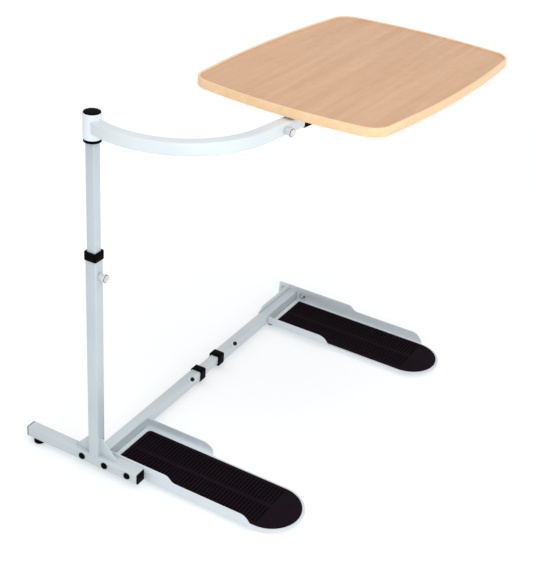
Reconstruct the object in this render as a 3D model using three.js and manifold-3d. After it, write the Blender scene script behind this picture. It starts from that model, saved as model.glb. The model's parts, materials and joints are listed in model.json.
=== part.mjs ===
// Floor-standing swivel tray table: a base that chair feet stand on, a square
// telescopic post, a curved swing arm and a bowed tray. Millimetres, +Z up,
// +X along the crossbar, the foot plates point along -Y.
import * as THREE from "three";
import Module from "manifold-3d";

const wasm = await Module();
wasm.setup();

// Frame: the origin is the middle of the footprint, on the floor.
const POST_X = -408.68;
const POST_Y = 159.52;

// General clearances and sheet sizes
const GAP = 0.3;
const BOLT_RADIUS = 3;
const HOLE_RADIUS = 3.3;

// Square tubes
const TUBE = 25;
const TUBE_WALL = 1.5;
const TUBE_CORNER = 3;
const INNER_TUBE = 20;
const INNER_CORNER = 2.4;
const SLIDE_TUBE = 16;

// Side rail
const RAIL_BOTTOM = 13.5;
const RAIL_FRONT = -111.1;
const RAIL_REAR = 175.2;
const PLUG_CAP = 2;
const PLUG_DEPTH = 14;
const FOOT_FROM_REAR = 20.5;
const FOOT_RADIUS = 12;

// Post
const RAIL_TOP = RAIL_BOTTOM + TUBE;
const POST_TOP = 519;
const INNER_POST_BOTTOM = 270;
const INNER_POST_TOP = 750.5;
const COLLAR_SIZE = 28.6;
const COLLAR_SKIRT = 12;
const COLLAR_CAP = 5.5;
const COLLAR_SPIGOT = 22;
const GUSSET_THICKNESS = 3;
const GUSSET_LENGTH = 40;
const GUSSET_HEIGHT = 43;
const HEIGHT_KNOB_Z = 472.4;

// Crossbar
const CROSSBAR_BOTTOM = 11.2;
const CROSSBAR_END_GAP = 1.2;
const NEAR_TUBE_END = 393;
const FAR_TUBE_START = 463.5;
const CROSSBAR_INNER_START = 232;
const CROSSBAR_INNER_END = 628;
const NEAR_SCREW_X = 340.5;
const FAR_SCREW_X = 527;

// Foot plates
const PLATE_SHEET = 2;
const PLATE_BOTTOM = 8.5;
const PLATE_OUTER = 12.8;
const PLATE_INNER = 168.9;
const PLATE_REAR = 42;
const PLATE_FLANGE = 14.8;
const NEAR_FLANGE_TOP = 30;
const FAR_FLANGE_END = 38;
const FLANGE_STEP = 146;
const OUTER_BEND = 4.5;
const INNER_BEND = 12;
const HIGH_WALL = 46.6;
const LOW_WALL = 34.1;
const INNER_WALL = 33.8;
const STEP_START = -163;
const STEP_END = -189;
const LOW_WALL_END = -346;
const OUTER_WALL_FRONT = -376;
const INNER_WALL_REAR = -13.1;
const INNER_WALL_END = -158;
const INNER_WALL_FRONT = -187;
const TOE_X = 89.9;
const TOE_Y = -373.1;
const TOE_RADIUS = 71.8;
const FAR_PLATE_OUTER = 843.5;

// Rubber mats and pads
const MAT_RADIUS = 65.9;
const MAT_REAR = -25;
const MAT_CORNER = 9;
const MAT_THICKNESS = 2.1;
const GROOVE_DEPTH = 0.9;
const GROOVE_WIDTH = 3.8;
const GROOVE_PITCH = 8;
const GROOVE_FIRST = -36;
const GROOVE_COUNT = 43;
const GROOVE_LANE = 5;
const GROOVE_LENGTH = 53;
const PAD_RADIUS = 12;
const PAD_HEIGHT = 8.2;

// Bolts through the rail into the near plate
const BOLT_PITCH = 58;
const BOLT_Y = [BOLT_PITCH / 2, -BOLT_PITCH / 2, -1.5 * BOLT_PITCH];
const BOLT_HEAD_RADIUS = 7.6;
const BOLT_HEAD_HEIGHT = 4.4;
const INSERT_RADIUS = 4.9;
const INSERT_FLANGE = 7.6;

// Swivel at the post head
const SLEEVE_RADIUS = 17.5;
const SLEEVE_BORE = 15.3;
const SLEEVE_BOTTOM = 756.8;
const SLEEVE_TOP = 806.3;
const SPINDLE_RADIUS = 12;
const SPINDLE_TOP = 796;
const BUSH_BORE = 12.2;
const RING_BOTTOM = 750.8;

// Swing arm
const ARM_Z = 782;
const ARM_CORNER = 4;
const ARM_START_ANGLE = -106.6;
const ARM_LEAD = 20;
const ARM_BEND_RADIUS = 193;
const ARM_BEND_LENGTH = 330;
const ARM_TAIL = 110;
const ARM_BEND_STEPS = 20;
const ARM_COLLAR_LENGTH = 24;
const ARM_COLLAR_SIZE = 27.4;
const ARM_KNOB_FROM_END = 58;
const ARM_KNOB_DROP = 1.2;

// Tray
const TRAY_X = 520.9;
const TRAY_Y = -269.7;
const TRAY_ANGLE = -3.1;
const TRAY_HALF_LENGTH = 304.6;
const TRAY_HALF_DEPTH = 223.8;
const TRAY_END_BOW = 1115;
const TRAY_SIDE_BOW = 2303;
const TRAY_CORNER = 45;
const TRAY_HEIGHT = 18.4;
const TRAY_RECESS = 3.2;
const TRAY_LIP = 5.4;
const TRAY_SAG = 1.44;
const TRAY_SAG_ANGLE = 23.5;
const SAG_PIVOT_X = 267.5;
const SAG_PIVOT_Y = -279;
const TRAY_UNDERSIDE = 797.5;
const SLIDE_DROP = 16.3;
const SLIDE_TAIL = 105;
const SLIDE_REACH = 200;

const WHITE_COAT = new THREE.MeshStandardMaterial({
  color: 0xe4eaee,
  roughness: 0.38,
  metalness: 0.1,
});
const BLACK_PLASTIC = new THREE.MeshStandardMaterial({
  color: 0x17171a,
  roughness: 0.5,
  metalness: 0,
});
const BLACK_RUBBER = new THREE.MeshStandardMaterial({
  color: 0x121214,
  roughness: 0.85,
  metalness: 0,
});
const BLACK_STEEL = new THREE.MeshStandardMaterial({
  color: 0x1b1b1e,
  roughness: 0.42,
  metalness: 0.5,
});
const ZINC_STEEL = new THREE.MeshStandardMaterial({
  color: 0xb9bcc0,
  roughness: 0.35,
  metalness: 0.9,
});
const KNOB_PLASTIC = new THREE.MeshStandardMaterial({
  color: 0xe9edf0,
  roughness: 0.3,
  metalness: 0,
});
const TRAY_LAMINATE = new THREE.MeshStandardMaterial({
  color: 0xdebb96,
  roughness: 0.45,
  metalness: 0,
});
const TRAY_WOOD = new THREE.MeshStandardMaterial({
  color: 0xf2cd96,
  roughness: 0.45,
  metalness: 0,
});

const group = new THREE.Group();

function addPart(name, geometry, material) {
  const placed = geometry.clone();
  placed.translate(POST_X, POST_Y, 0);
  placed.computeVertexNormals();
  const mesh = new THREE.Mesh(placed, material.clone());
  mesh.name = name;
  group.add(mesh);
  return mesh;
}

// Vertices closer than this are one vertex.
const WELD = 1e4;

function toSolid(geometry) {
  const flat = geometry.index ? geometry.toNonIndexed() : geometry;
  const positions = flat.getAttribute("position").array;
  const lookup = new Map();
  const vertices = [];
  const triangles = [];
  for (let i = 0; i < positions.length; i += 9) {
    const corners = [];
    for (let k = 0; k < 9; k += 3) {
      const point = [positions[i + k], positions[i + k + 1], positions[i + k + 2]];
      const key = point.map((value) => Math.round(value * WELD)).join(",");
      if (!lookup.has(key)) {
        lookup.set(key, vertices.length / 3);
        vertices.push(...point);
      }
      corners.push(lookup.get(key));
    }
    const [a, b, c] = corners;
    if (a !== b && b !== c && c !== a) {
      triangles.push(a, b, c);
    }
  }
  const mesh = new wasm.Mesh({
    numProp: 3,
    vertProperties: new Float32Array(vertices),
    triVerts: new Uint32Array(triangles),
  });
  return new wasm.Manifold(mesh);
}

function toGeometry(solid) {
  const mesh = solid.getMesh();
  const geometry = new THREE.BufferGeometry();
  const positions = new Float32Array((mesh.vertProperties.length / mesh.numProp) * 3);
  for (let i = 0; i < positions.length / 3; i += 1) {
    for (let k = 0; k < 3; k += 1) {
      positions[i * 3 + k] = mesh.vertProperties[i * mesh.numProp + k];
    }
  }
  geometry.setAttribute("position", new THREE.BufferAttribute(positions, 3));
  geometry.setIndex(Array.from(mesh.triVerts));
  return geometry.toNonIndexed();
}

function join(first, ...others) {
  let solid = toSolid(first);
  for (const other of others) {
    solid = solid.add(toSolid(other));
  }
  return toGeometry(solid);
}

function cut(first, ...others) {
  let solid = toSolid(first);
  for (const other of others) {
    solid = solid.subtract(toSolid(other));
  }
  return toGeometry(solid);
}

function common(first, ...others) {
  let solid = toSolid(first);
  for (const other of others) {
    solid = solid.intersect(toSolid(other));
  }
  return toGeometry(solid);
}

function box(x0, x1, y0, y1, z0, z1) {
  const geometry = new THREE.BoxGeometry(x1 - x0, y1 - y0, z1 - z0);
  geometry.translate((x0 + x1) / 2, (y0 + y1) / 2, (z0 + z1) / 2);
  return geometry.toNonIndexed();
}

const UP = new THREE.Vector3(0, 0, 1);

// Moves a geometry built along +Z so that it starts at a point and runs along a direction.
function aim(geometry, point, direction) {
  const turn = new THREE.Quaternion().setFromUnitVectors(UP, direction.clone().normalize());
  geometry.applyQuaternion(turn);
  geometry.translate(point.x, point.y, point.z);
  return geometry;
}

function lathe(profile, segments = 20) {
  const points = profile.map(([radius, height]) => new THREE.Vector2(radius, height));
  const geometry = new THREE.LatheGeometry(points, segments);
  geometry.rotateX(Math.PI / 2);
  return geometry;
}

function cylinder(radius, length, segments = 20) {
  return lathe([[0, 0], [radius, 0], [radius, length], [0, length]], segments);
}

function roundedSquare(size, corner, shape = new THREE.Shape()) {
  const half = size / 2;
  shape.moveTo(half - corner, -half);
  shape.absarc(half - corner, corner - half, corner, -Math.PI / 2, 0, false);
  shape.absarc(half - corner, half - corner, corner, 0, Math.PI / 2, false);
  shape.absarc(corner - half, half - corner, corner, Math.PI / 2, Math.PI, false);
  shape.absarc(corner - half, corner - half, corner, Math.PI, 1.5 * Math.PI, false);
  shape.closePath();
  return shape;
}

function extrude(shape, depth, curveSegments = 2) {
  const options = { depth, bevelEnabled: false, curveSegments, steps: 1 };
  return new THREE.ExtrudeGeometry(shape, options);
}

function squareTubeShape(size, corner, wall) {
  const shape = roundedSquare(size, corner);
  const bore = size - 2 * wall;
  shape.holes.push(roundedSquare(bore, Math.max(corner - wall, 0.8), new THREE.Path()));
  return shape;
}

function squareTube(size, corner, wall, length) {
  return extrude(squareTubeShape(size, corner, wall), length);
}

function squareBar(size, corner, length) {
  return extrude(roundedSquare(size, corner), length);
}

// Turns a shape drawn in (y, z) and extruded along +Z into one extruded along +X.
function alongX(geometry, x) {
  const basis = new THREE.Matrix4().makeBasis(
    new THREE.Vector3(0, 1, 0),
    new THREE.Vector3(0, 0, 1),
    new THREE.Vector3(1, 0, 0),
  );
  geometry.applyMatrix4(basis);
  geometry.translate(x, 0, 0);
  return geometry;
}

// Turns a shape drawn in (x, z) and extruded along +Z into one extruded along -Y.
function alongMinusY(geometry, y) {
  geometry.rotateX(Math.PI / 2);
  geometry.translate(0, y, 0);
  return geometry;
}

function shift(geometry, x, y, z) {
  geometry.translate(x, y, z);
  return geometry;
}

function mirrorX(geometry, sum) {
  const mirrored = geometry.toNonIndexed ? geometry.clone() : geometry;
  const flat = mirrored.index ? mirrored.toNonIndexed() : mirrored;
  const positions = flat.getAttribute("position");
  for (let i = 0; i < positions.count; i += 1) {
    positions.setX(i, sum - positions.getX(i));
  }
  for (let i = 0; i < positions.count; i += 3) {
    const first = new THREE.Vector3().fromBufferAttribute(positions, i);
    const second = new THREE.Vector3().fromBufferAttribute(positions, i + 1);
    positions.setXYZ(i, second.x, second.y, second.z);
    positions.setXYZ(i + 1, first.x, first.y, first.z);
  }
  return flat;
}

const MIRROR_SUM = FAR_PLATE_OUTER + PLATE_OUTER;

// ---- Side rail -------------------------------------------------------------

const railCentreZ = RAIL_BOTTOM + TUBE / 2;
const footY = RAIL_REAR - FOOT_FROM_REAR;
const railLength = RAIL_REAR - RAIL_FRONT;

function boltHole(y, x0, length, radius = HOLE_RADIUS) {
  const start = new THREE.Vector3(x0, y, railCentreZ);
  return aim(cylinder(radius, length), start, new THREE.Vector3(1, 0, 0));
}

const railTube = alongMinusY(squareTube(TUBE, TUBE_CORNER, TUBE_WALL, railLength), RAIL_REAR);
railTube.translate(0, 0, railCentreZ);
const railHoles = BOLT_Y.map((y) => boltHole(y, -TUBE, 2 * TUBE));
const footHole = shift(cylinder(4.3, 6), 0, footY, RAIL_BOTTOM - 2);
addPart("side_rail", cut(railTube, ...railHoles, footHole), WHITE_COAT);

// A push-in plug with its cap at the origin, facing -Z, and its spigot along +Z.
function tubePlug() {
  const cap = squareBar(TUBE, TUBE_CORNER, PLUG_CAP);
  const bore = TUBE - 2 * TUBE_WALL - 2 * GAP;
  const spigot = shift(squareBar(bore, 1.5, PLUG_DEPTH), 0, 0, PLUG_CAP - 0.5);
  const hollow = shift(squareBar(bore - 4, 1, PLUG_DEPTH), 0, 0, PLUG_CAP + 1.5);
  return cut(join(cap, spigot), hollow);
}

const frontPlug = tubePlug();
frontPlug.rotateX(-Math.PI / 2);
frontPlug.translate(0, RAIL_FRONT - GAP - PLUG_CAP, railCentreZ);
addPart("rail_front_plug", frontPlug, BLACK_PLASTIC);

const rearPlug = tubePlug();
rearPlug.rotateX(Math.PI / 2);
rearPlug.translate(0, RAIL_REAR + GAP + PLUG_CAP, railCentreZ);
addPart("rail_rear_plug", rearPlug, BLACK_PLASTIC);

const footTop = RAIL_BOTTOM - GAP;
const footProfile = [
  [0, 0],
  [8.5, 0],
  [10.6, 0.8],
  [11.7, 2.6],
  [FOOT_RADIUS, 5],
  [FOOT_RADIUS, footTop],
  [4, footTop],
  [4, RAIL_BOTTOM + TUBE_WALL + GAP],
  [5.4, RAIL_BOTTOM + TUBE_WALL + 1],
  [3.4, RAIL_BOTTOM + TUBE_WALL + 5],
  [0, RAIL_BOTTOM + TUBE_WALL + 5],
];
addPart("rail_rear_foot", shift(lathe(footProfile), 0, footY, 0), BLACK_RUBBER);

// ---- Bolts and threaded inserts -------------------------------------------

const boltNames = ["rear", "middle", "front"];
const headBase = -TUBE / 2 - GAP;
const shankEnd = PLATE_OUTER + PLATE_SHEET + 7;

function railBolt() {
  const shank = shankEnd - headBase;
  return lathe([
    [0, -BOLT_HEAD_HEIGHT],
    [3.4, -BOLT_HEAD_HEIGHT + 0.25],
    [5.8, -BOLT_HEAD_HEIGHT + 1.2],
    [7.2, -BOLT_HEAD_HEIGHT + 2.7],
    [BOLT_HEAD_RADIUS, -1],
    [BOLT_HEAD_RADIUS, 0],
    [BOLT_RADIUS, 0],
    [BOLT_RADIUS, shank - 0.8],
    [BOLT_RADIUS - 0.8, shank],
    [0, shank],
  ]);
}

// A flanged threaded insert along +Z, its flange at the far side of the wall.
function threadedInsert() {
  const wall = PLATE_SHEET;
  return lathe([
    [HOLE_RADIUS, -0.4],
    [INSERT_RADIUS, -0.4],
    [INSERT_RADIUS, wall + GAP],
    [INSERT_FLANGE, wall + GAP],
    [INSERT_FLANGE, wall + GAP + 1],
    [5.4, wall + GAP + 1.4],
    [5.2, wall + 6],
    [HOLE_RADIUS, wall + 6],
    [HOLE_RADIUS, -0.4],
  ]);
}

BOLT_Y.forEach((y, index) => {
  const seat = new THREE.Vector3(headBase, y, railCentreZ);
  const bolt = aim(railBolt(), seat, new THREE.Vector3(1, 0, 0));
  addPart(`rail_bolt_${boltNames[index]}`, bolt, BLACK_PLASTIC);
  const wall = new THREE.Vector3(PLATE_OUTER + 0.4, y, railCentreZ);
  const insert = aim(threadedInsert(), wall, new THREE.Vector3(1, 0, 0));
  addPart(`near_insert_${boltNames[index]}`, insert, ZINC_STEEL);
});

BOLT_Y.slice(0, 2).forEach((y, index) => {
  const wall = new THREE.Vector3(FAR_PLATE_OUTER - 0.4, y, railCentreZ);
  const insert = aim(threadedInsert(), wall, new THREE.Vector3(-1, 0, 0));
  addPart(`far_insert_${boltNames[index]}`, insert, ZINC_STEEL);
});

// ---- Post ------------------------------------------------------------------

const postBottom = RAIL_TOP + GAP;
const postTube = squareTube(TUBE, TUBE_CORNER, TUBE_WALL, POST_TOP - postBottom);
postTube.translate(0, 0, postBottom);
const minusY = new THREE.Vector3(0, -1, 0);
const knobHole = aim(
  cylinder(HOLE_RADIUS, 8),
  new THREE.Vector3(0, -8, HEIGHT_KNOB_Z),
  minusY,
);
addPart("post_outer_tube", cut(postTube, knobHole), WHITE_COAT);

function gusset(side) {
  const foot = postBottom;
  const face = TUBE / 2 + GAP;
  const nose = 2;
  const shape = new THREE.Shape();
  shape.moveTo(face, foot);
  shape.lineTo(face + GUSSET_LENGTH, foot);
  shape.lineTo(face + GUSSET_LENGTH, foot + nose);
  shape.lineTo(face + nose, foot + GUSSET_HEIGHT);
  shape.lineTo(face, foot + GUSSET_HEIGHT);
  shape.closePath();
  const plate = alongX(extrude(shape, GUSSET_THICKNESS), -GUSSET_THICKNESS / 2);
  if (side < 0) {
    plate.rotateZ(Math.PI);
  }
  return plate;
}

addPart("gusset_rear", gusset(1), WHITE_COAT);
addPart("gusset_front", gusset(-1), WHITE_COAT);

const innerPostLength = INNER_POST_TOP - INNER_POST_BOTTOM;
const innerPost = squareTube(INNER_TUBE, INNER_CORNER, TUBE_WALL, innerPostLength);
innerPost.translate(0, 0, INNER_POST_BOTTOM);
addPart("post_inner_tube", innerPost, WHITE_COAT);

// A collar over a tube end. z = 0 is the tube's end and the cap points along +Z.
function tubeCollar(passage, capLength, skirt, outer = COLLAR_SIZE, inside = 1.6) {
  const round = 3.5;
  const body = shift(squareBar(outer, round, capLength + skirt), 0, 0, -skirt);
  const pocket = shift(squareBar(TUBE + 2 * GAP, TUBE_CORNER, skirt + GAP + 1), 0, 0, -skirt - 1);
  const spigotSize = TUBE - 2 * TUBE_WALL - 0.4;
  const spigot = shift(squareBar(spigotSize, inside, COLLAR_SPIGOT + 1), 0, 0, -COLLAR_SPIGOT);
  const bore = shift(
    squareBar(passage, INNER_CORNER, capLength + COLLAR_SPIGOT + 4),
    0,
    0,
    -COLLAR_SPIGOT - 2,
  );
  return cut(join(cut(body, pocket), spigot), bore);
}

const runningSize = INNER_TUBE + 0.4;
const postCollar = tubeCollar(runningSize, COLLAR_CAP, COLLAR_SKIRT);
addPart("post_collar", shift(postCollar, 0, 0, POST_TOP), BLACK_PLASTIC);

// ---- Clamp knobs -----------------------------------------------------------

const BOSS_RADIUS = 7;
const BOSS_HEIGHT = 3;
const KNOB_LENGTH = 13.2;
const KNOB_HEAD_START = 7.2;
const KNOB_NECK = 6.8;

function knobBoss() {
  return lathe([
    [HOLE_RADIUS, 0],
    [BOSS_RADIUS, 0],
    [BOSS_RADIUS, BOSS_HEIGHT - 0.6],
    [BOSS_RADIUS - 0.6, BOSS_HEIGHT],
    [HOLE_RADIUS, BOSS_HEIGHT],
    [HOLE_RADIUS, 0],
  ]);
}

// A round head on a neck, moulded on a stud. z = 0 is the face of the boss.
function clampKnob(studLength, radius) {
  return lathe([
    [0, -studLength],
    [BOLT_RADIUS - 0.6, -studLength],
    [BOLT_RADIUS, -studLength + 0.8],
    [BOLT_RADIUS, 0.5],
    [KNOB_NECK, 0.5],
    [KNOB_NECK, KNOB_HEAD_START],
    [radius - 1, KNOB_HEAD_START],
    [radius, KNOB_HEAD_START + 1],
    [radius, KNOB_LENGTH - 1],
    [radius - 1, KNOB_LENGTH],
    [radius * 0.55, KNOB_LENGTH],
    [radius * 0.45, KNOB_LENGTH - 0.8],
    [0, KNOB_LENGTH - 0.8],
  ]);
}

const KNOB_RADIUS = 8.2;
const faceY = -TUBE / 2 - GAP;
const heightBossSeat = new THREE.Vector3(0, faceY, HEIGHT_KNOB_Z);
addPart("height_knob_boss", aim(knobBoss(), heightBossSeat, minusY), WHITE_COAT);
const heightStud = BOSS_HEIGHT + TUBE / 2 + GAP - INNER_TUBE / 2 - GAP;
const heightKnobSeat = new THREE.Vector3(0, faceY - BOSS_HEIGHT, HEIGHT_KNOB_Z);
const heightKnob = aim(clampKnob(heightStud, KNOB_RADIUS), heightKnobSeat, minusY);
addPart("height_knob", heightKnob, KNOB_PLASTIC);

// ---- Crossbar --------------------------------------------------------------

const crossbarZ = CROSSBAR_BOTTOM + TUBE / 2;
const plateInside = PLATE_OUTER + PLATE_SHEET + CROSSBAR_END_GAP;
const plusX = new THREE.Vector3(1, 0, 0);
const minusX = new THREE.Vector3(-1, 0, 0);

function crossTube(size, corner, x0, x1) {
  const tube = alongX(squareTube(size, corner, TUBE_WALL, x1 - x0), x0);
  tube.translate(0, 0, crossbarZ);
  return tube;
}

const cornerDirection = new THREE.Vector3(0, -1, 1).normalize();

function cornerPoint(x, distance) {
  return new THREE.Vector3(x, 0, crossbarZ).addScaledVector(cornerDirection, distance);
}

function cornerHole(x) {
  return aim(cylinder(HOLE_RADIUS, 16), cornerPoint(x, 8), cornerDirection);
}

const nearTube = crossTube(TUBE, TUBE_CORNER, plateInside, NEAR_TUBE_END);
addPart("crossbar_near_tube", cut(nearTube, cornerHole(NEAR_SCREW_X)), WHITE_COAT);

const farTubeEnd = FAR_PLATE_OUTER - PLATE_SHEET - CROSSBAR_END_GAP;
const farTube = crossTube(TUBE, TUBE_CORNER, FAR_TUBE_START, farTubeEnd);
addPart("crossbar_far_tube", cut(farTube, cornerHole(FAR_SCREW_X)), WHITE_COAT);

const crossInner = crossTube(INNER_TUBE, INNER_CORNER, CROSSBAR_INNER_START, CROSSBAR_INNER_END);
addPart("crossbar_inner_tube", crossInner, WHITE_COAT);

const CROSS_SKIRT = 15.5;
const nearCollar = tubeCollar(runningSize, COLLAR_CAP, CROSS_SKIRT);
aim(nearCollar, new THREE.Vector3(NEAR_TUBE_END, 0, crossbarZ), plusX);
addPart("crossbar_near_collar", nearCollar, BLACK_PLASTIC);

const farCollar = tubeCollar(runningSize, COLLAR_CAP, CROSS_SKIRT);
aim(farCollar, new THREE.Vector3(FAR_TUBE_START, 0, crossbarZ), minusX);
addPart("crossbar_far_collar", farCollar, BLACK_PLASTIC);

// The lock screw sits on the tube's upper front corner and presses the inner
// tube into the opposite corner.
const SCREW_BOSS_RADIUS = 6.8;
const SCREW_BOSS_OUT = 18.6;
const SCREW_HEAD_RADIUS = 5;
const SCREW_HEAD_HEIGHT = 4.6;

function cornerBoss(x) {
  const start = 13;
  const body = cylinder(SCREW_BOSS_RADIUS, SCREW_BOSS_OUT - start);
  const solid = aim(body, cornerPoint(x, start), cornerDirection);
  const bar = alongX(squareBar(TUBE + 2 * GAP, TUBE_CORNER, 30), x - 15);
  bar.translate(0, 0, crossbarZ);
  return cut(solid, bar, cornerHole(x));
}

function cornerScrew(x) {
  const tip = 13.7;
  const base = SCREW_BOSS_OUT + GAP - tip;
  const body = lathe([
    [0, 0],
    [BOLT_RADIUS - 0.6, 0],
    [BOLT_RADIUS, 0.6],
    [BOLT_RADIUS, base],
    [SCREW_HEAD_RADIUS, base],
    [SCREW_HEAD_RADIUS, base + SCREW_HEAD_HEIGHT - 0.8],
    [SCREW_HEAD_RADIUS - 0.8, base + SCREW_HEAD_HEIGHT],
    [2.6, base + SCREW_HEAD_HEIGHT],
    [2.6, base + SCREW_HEAD_HEIGHT - 2],
    [0, base + SCREW_HEAD_HEIGHT - 2],
  ]);
  return aim(body, cornerPoint(x, tip), cornerDirection);
}

addPart("near_lock_boss", cornerBoss(NEAR_SCREW_X), WHITE_COAT);
addPart("near_lock_screw", cornerScrew(NEAR_SCREW_X), BLACK_STEEL);
addPart("far_lock_boss", cornerBoss(FAR_SCREW_X), WHITE_COAT);
addPart("far_lock_screw", cornerScrew(FAR_SCREW_X), BLACK_STEEL);

// ---- Foot plates -----------------------------------------------------------

const plateFloorTop = PLATE_BOTTOM + PLATE_SHEET;

function plateSection() {
  const shape = new THREE.Shape();
  const outerIn = PLATE_OUTER + PLATE_SHEET;
  const innerIn = PLATE_INNER - PLATE_SHEET;
  const outerCentre = PLATE_OUTER + OUTER_BEND;
  const innerCentre = PLATE_INNER - INNER_BEND;
  const top = HIGH_WALL + 10;
  shape.moveTo(PLATE_OUTER, top);
  shape.lineTo(PLATE_OUTER, PLATE_BOTTOM + OUTER_BEND);
  shape.absarc(
    outerCentre,
    PLATE_BOTTOM + OUTER_BEND,
    OUTER_BEND,
    Math.PI,
    1.5 * Math.PI,
    false,
  );
  shape.absarc(
    innerCentre,
    PLATE_BOTTOM + INNER_BEND,
    INNER_BEND,
    1.5 * Math.PI,
    2 * Math.PI,
    false,
  );
  shape.lineTo(PLATE_INNER, top);
  shape.lineTo(innerIn, top);
  shape.absarc(
    innerCentre,
    PLATE_BOTTOM + INNER_BEND,
    INNER_BEND - PLATE_SHEET,
    0,
    -Math.PI / 2,
    true,
  );
  shape.absarc(
    outerCentre,
    PLATE_BOTTOM + OUTER_BEND,
    OUTER_BEND - PLATE_SHEET,
    -Math.PI / 2,
    -Math.PI,
    true,
  );
  shape.lineTo(outerIn, top);
  shape.closePath();
  return shape;
}

// Side views of the two walls, drawn in (y, z) and running up from below the floor sheet.
function outerWallView() {
  const shape = new THREE.Shape();
  const middle = (STEP_START + STEP_END) / 2;
  shape.moveTo(PLATE_REAR + 1.6, 0);
  shape.lineTo(PLATE_REAR - 0.4, HIGH_WALL - 3);
  shape.quadraticCurveTo(PLATE_REAR - 0.6, HIGH_WALL, PLATE_REAR - 4, HIGH_WALL);
  shape.lineTo(STEP_START, HIGH_WALL);
  shape.bezierCurveTo(middle, HIGH_WALL, middle, LOW_WALL, STEP_END, LOW_WALL);
  shape.lineTo(LOW_WALL_END, LOW_WALL);
  shape.bezierCurveTo(
    LOW_WALL_END - 15,
    LOW_WALL,
    OUTER_WALL_FRONT + 8,
    plateFloorTop + 10,
    OUTER_WALL_FRONT,
    plateFloorTop - 1,
  );
  shape.lineTo(OUTER_WALL_FRONT, 0);
  shape.closePath();
  return shape;
}

function innerWallView() {
  const shape = new THREE.Shape();
  shape.moveTo(INNER_WALL_REAR, 0);
  shape.lineTo(INNER_WALL_REAR, INNER_WALL);
  shape.lineTo(INNER_WALL_END, INNER_WALL);
  shape.bezierCurveTo(
    INNER_WALL_END - 16,
    INNER_WALL,
    INNER_WALL_FRONT,
    INNER_WALL - 11,
    INNER_WALL_FRONT,
    plateFloorTop - 1,
  );
  shape.lineTo(INNER_WALL_FRONT, 0);
  shape.closePath();
  return shape;
}

// The floor seen from above: square at the back, round at the toe.
function plateOutline() {
  const shape = new THREE.Shape();
  const flare = 14;
  const outerFlare = 12;
  const flareEnd = TOE_Y - 8;
  const innerEdge = TOE_X + TOE_RADIUS;
  const outerEdge = TOE_X - TOE_RADIUS;
  const toeAngle = Math.PI + Math.asin((TOE_Y - flareEnd) / TOE_RADIUS);
  shape.moveTo(PLATE_INNER + 1, PLATE_FLANGE);
  shape.lineTo(PLATE_OUTER + PLATE_SHEET, PLATE_FLANGE);
  shape.lineTo(PLATE_OUTER + PLATE_SHEET, PLATE_REAR + 4);
  shape.lineTo(PLATE_OUTER - 1, PLATE_REAR + 4);
  shape.lineTo(PLATE_OUTER - 1, OUTER_WALL_FRONT + outerFlare);
  shape.bezierCurveTo(
    PLATE_OUTER - 1,
    OUTER_WALL_FRONT + 2,
    outerEdge,
    OUTER_WALL_FRONT + 3,
    TOE_X + TOE_RADIUS * Math.cos(toeAngle),
    flareEnd,
  );
  shape.absarc(TOE_X, TOE_Y, TOE_RADIUS, toeAngle, 2 * Math.PI, false);
  shape.lineTo(innerEdge, INNER_WALL_FRONT - flare);
  shape.bezierCurveTo(
    innerEdge,
    INNER_WALL_FRONT,
    PLATE_INNER + 1,
    INNER_WALL_FRONT,
    PLATE_INNER + 1,
    INNER_WALL_FRONT + flare,
  );
  shape.closePath();
  return shape;
}

// The turned-up rear edge, drawn in (x, z). Its top may step down towards the inner side.
function rearFlange(outerTop, innerTop) {
  const shape = new THREE.Shape();
  const start = PLATE_OUTER + 0.5;
  const foot = PLATE_BOTTOM + 0.5;
  const bendCentre = PLATE_INNER - INNER_BEND;
  const innerEdge = PLATE_INNER - 0.5;
  const middle = (FLANGE_STEP + innerEdge) / 2;
  shape.moveTo(start, outerTop);
  shape.lineTo(start, foot);
  shape.lineTo(bendCentre, foot);
  shape.quadraticCurveTo(innerEdge, foot, innerEdge, PLATE_BOTTOM + INNER_BEND);
  shape.lineTo(innerEdge, innerTop);
  shape.bezierCurveTo(middle, innerTop, middle, outerTop, FLANGE_STEP, outerTop);
  shape.closePath();
  return alongMinusY(extrude(shape, PLATE_SHEET, 8), PLATE_FLANGE);
}

function footPlate(flange, holes) {
  const length = PLATE_REAR - TOE_Y + TOE_RADIUS + 20;
  const sheet = alongMinusY(extrude(plateSection(), length, 3), PLATE_REAR + 2);
  const split = (PLATE_OUTER + PLATE_INNER) / 2;
  const outerKeep = alongX(extrude(outerWallView(), split - PLATE_OUTER + 2, 8), PLATE_OUTER - 1);
  const innerKeep = alongX(extrude(innerWallView(), PLATE_INNER - split + 2, 8), split);
  const floorKeep = box(
    PLATE_OUTER - 2,
    PLATE_INNER + 2,
    TOE_Y - TOE_RADIUS - 2,
    PLATE_REAR + 2,
    0,
    plateFloorTop + 0.1,
  );
  const outline = extrude(plateOutline(), 80, 14);
  const shaped = common(sheet, join(floorKeep, outerKeep, innerKeep), outline);
  return cut(join(shaped, flange), ...holes);
}

const insertHoles = BOLT_Y.map((y) => boltHole(y, PLATE_OUTER - 4, 10, INSERT_RADIUS + GAP));
const nearFlange = rearFlange(NEAR_FLANGE_TOP, NEAR_FLANGE_TOP);
addPart("near_foot_plate", footPlate(nearFlange, insertHoles), WHITE_COAT);
const farFlange = rearFlange(HIGH_WALL, FAR_FLANGE_END);
const farPlate = mirrorX(footPlate(farFlange, insertHoles.slice(0, 2)), MIRROR_SUM);
addPart("far_foot_plate", farPlate, WHITE_COAT);

// ---- Rubber mats and pads --------------------------------------------------

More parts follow.
